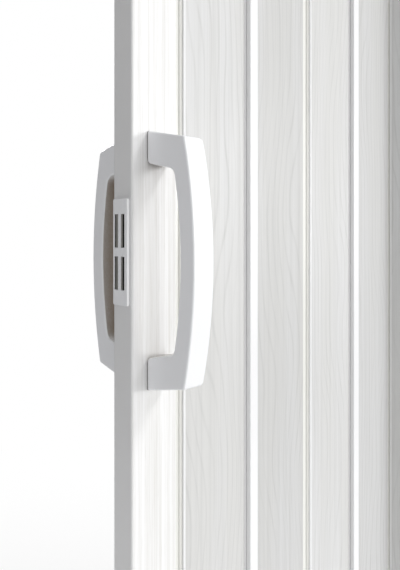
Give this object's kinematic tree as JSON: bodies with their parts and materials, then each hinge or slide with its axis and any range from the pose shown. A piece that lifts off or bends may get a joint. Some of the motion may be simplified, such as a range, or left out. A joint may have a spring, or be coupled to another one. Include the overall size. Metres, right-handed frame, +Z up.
{
  "type": "accordion door",
  "caption": "White wood-grain folding door of hollow slats on hinge strips, hung from an overhead track, with a lead post, bow handles on both faces and a magnetic catch.",
  "frame": {"origin": "middle of the track's top face, where it lies against the lintel", "axes": "+Z up, +X from the strike jamb to the wall jamb, -Y out of the door's front face"},
  "size_m": [0.7622, 0.1455, 2.03],
  "materials": {
    "grained_pvc": "white rigid PVC with a pale grey printed wood grain",
    "plain_pvc": "plain white extruded PVC, satin",
    "handle_plastic": "white moulded plastic, smooth",
    "nylon": "natural nylon, moulded",
    "track_metal": "extruded aluminium, painted white",
    "steel": "zinc-plated steel",
    "ferrite": "sintered ferrite, dark grey"
  },
  "bodies": {
    "root": {"track": "track_metal", "wall_jamb": "plain_pvc", "strike_jamb": "plain_pvc", "keeper_plate": "steel", "keeper_screw_upper": "steel", "keeper_screw_lower": "steel", "hinge_strip_wall": "plain_pvc"},
    "slat_1": {"slat_1": "grained_pvc"},
    "strip_1": {"hinge_strip_1": "plain_pvc"},
    "slat_2": {"slat_2": "grained_pvc"},
    "strip_2": {"hinge_strip_2": "plain_pvc", "hanger_2": "nylon", "hanger_pin_2": "steel", "glider_2": "nylon"},
    "slat_3": {"slat_3": "grained_pvc"},
    "strip_3": {"hinge_strip_3": "plain_pvc"},
    "slat_4": {"slat_4": "grained_pvc"},
    "strip_4": {"hinge_strip_4": "plain_pvc", "hanger_4": "nylon", "hanger_pin_4": "steel", "glider_4": "nylon"},
    "slat_5": {"slat_5": "grained_pvc"},
    "strip_5": {"hinge_strip_5": "plain_pvc"},
    "slat_6": {"slat_6": "grained_pvc"},
    "strip_6": {"hinge_strip_6": "plain_pvc", "hanger_6": "nylon", "hanger_pin_6": "steel", "glider_6": "nylon"},
    "slat_7": {"slat_7": "grained_pvc"},
    "strip_7": {"hinge_strip_7": "plain_pvc"},
    "slat_8": {"slat_8": "grained_pvc"},
    "post": {"lead_post": "grained_pvc", "hinge_strip_lead": "plain_pvc", "post_cap_top": "plain_pvc", "post_cap_bottom": "plain_pvc", "lead_pin_left": "steel", "lead_pin_right": "steel", "lead_glider_left": "nylon", "lead_glider_right": "nylon", "handle_front": "handle_plastic", "handle_back": "handle_plastic", "handle_bolt_upper": "steel", "handle_bolt_lower": "steel", "catch_housing": "handle_plastic", "catch_magnet_upper": "ferrite", "catch_magnet_lower": "ferrite", "catch_pole_upper_front": "steel", "catch_pole_upper_back": "steel", "catch_pole_lower_front": "steel", "catch_pole_lower_back": "steel"}
  },
  "joints": [
    {"name": "fold_1", "type": "hinge", "parent": "root", "child": "slat_1", "pos_m": [0.34645, -0.003, -1.034], "axis": [0, 0, 1], "range_deg": [-64, 22]},
    {"name": "strip_1_turn", "type": "hinge", "parent": "slat_1", "child": "strip_1", "pos_m": [0.30862, -0.06688, -1.034], "axis": [0, 0, 1], "range_deg": [-22, 64]},
    {"name": "slat_2_turn", "type": "hinge", "parent": "strip_1", "child": "slat_2", "pos_m": [0.29862, -0.06688, -1.034], "axis": [0, 0, 1], "range_deg": [-22, 64]},
    {"name": "strip_2_turn", "type": "hinge", "parent": "slat_2", "child": "strip_2", "pos_m": [0.26079, -0.003, -1.034], "axis": [0, 0, 1], "range_deg": [-64, 22]},
    {"name": "fold_2", "type": "hinge", "parent": "strip_2", "child": "slat_3", "pos_m": [0.25079, -0.003, -1.034], "axis": [0, 0, 1], "range_deg": [-64, 22]},
    {"name": "strip_3_turn", "type": "hinge", "parent": "slat_3", "child": "strip_3", "pos_m": [0.21295, -0.06688, -1.034], "axis": [0, 0, 1], "range_deg": [-22, 64]},
    {"name": "slat_4_turn", "type": "hinge", "parent": "strip_3", "child": "slat_4", "pos_m": [0.20295, -0.06688, -1.034], "axis": [0, 0, 1], "range_deg": [-22, 64]},
    {"name": "strip_4_turn", "type": "hinge", "parent": "slat_4", "child": "strip_4", "pos_m": [0.16512, -0.003, -1.034], "axis": [0, 0, 1], "range_deg": [-64, 22]},
    {"name": "fold_3", "type": "hinge", "parent": "strip_4", "child": "slat_5", "pos_m": [0.15512, -0.003, -1.034], "axis": [0, 0, 1], "range_deg": [0, 86]},
    {"name": "strip_5_turn", "type": "hinge", "parent": "slat_5", "child": "strip_5", "pos_m": [0.08112, 0.003, -1.034], "axis": [0, 0, 1], "range_deg": [-86, 0]},
    {"name": "slat_6_turn", "type": "hinge", "parent": "strip_5", "child": "slat_6", "pos_m": [0.07112, 0.003, -1.034], "axis": [0, 0, 1], "range_deg": [-86, 0]},
    {"name": "strip_6_turn", "type": "hinge", "parent": "slat_6", "child": "strip_6", "pos_m": [-0.00288, -0.003, -1.034], "axis": [0, 0, 1], "range_deg": [0, 86]},
    {"name": "fold_4", "type": "hinge", "parent": "strip_6", "child": "slat_7", "pos_m": [-0.01288, -0.003, -1.034], "axis": [0, 0, 1], "range_deg": [0, 86]},
    {"name": "strip_7_turn", "type": "hinge", "parent": "slat_7", "child": "strip_7", "pos_m": [-0.08688, 0.003, -1.034], "axis": [0, 0, 1], "range_deg": [-86, 0]},
    {"name": "slat_8_turn", "type": "hinge", "parent": "strip_7", "child": "slat_8", "pos_m": [-0.09688, 0.003, -1.034], "axis": [0, 0, 1], "range_deg": [-86, 0]},
    {"name": "post_turn", "type": "hinge", "parent": "slat_8", "child": "post", "pos_m": [-0.17088, -0.003, -1.034], "axis": [0, 0, 1], "range_deg": [0, 86]}
  ],
  "couplings": [
    {"joint": "strip_1_turn", "follows": "fold_1", "ratio": -1},
    {"joint": "slat_2_turn", "follows": "fold_1", "ratio": -1},
    {"joint": "strip_2_turn", "follows": "fold_1", "ratio": 1},
    {"joint": "strip_3_turn", "follows": "fold_2", "ratio": -1},
    {"joint": "slat_4_turn", "follows": "fold_2", "ratio": -1},
    {"joint": "strip_4_turn", "follows": "fold_2", "ratio": 1},
    {"joint": "strip_5_turn", "follows": "fold_3", "ratio": -1},
    {"joint": "slat_6_turn", "follows": "fold_3", "ratio": -1},
    {"joint": "strip_6_turn", "follows": "fold_3", "ratio": 1},
    {"joint": "strip_7_turn", "follows": "fold_4", "ratio": -1},
    {"joint": "slat_8_turn", "follows": "fold_4", "ratio": -1},
    {"joint": "post_turn", "follows": "fold_4", "ratio": 1}
  ]
}
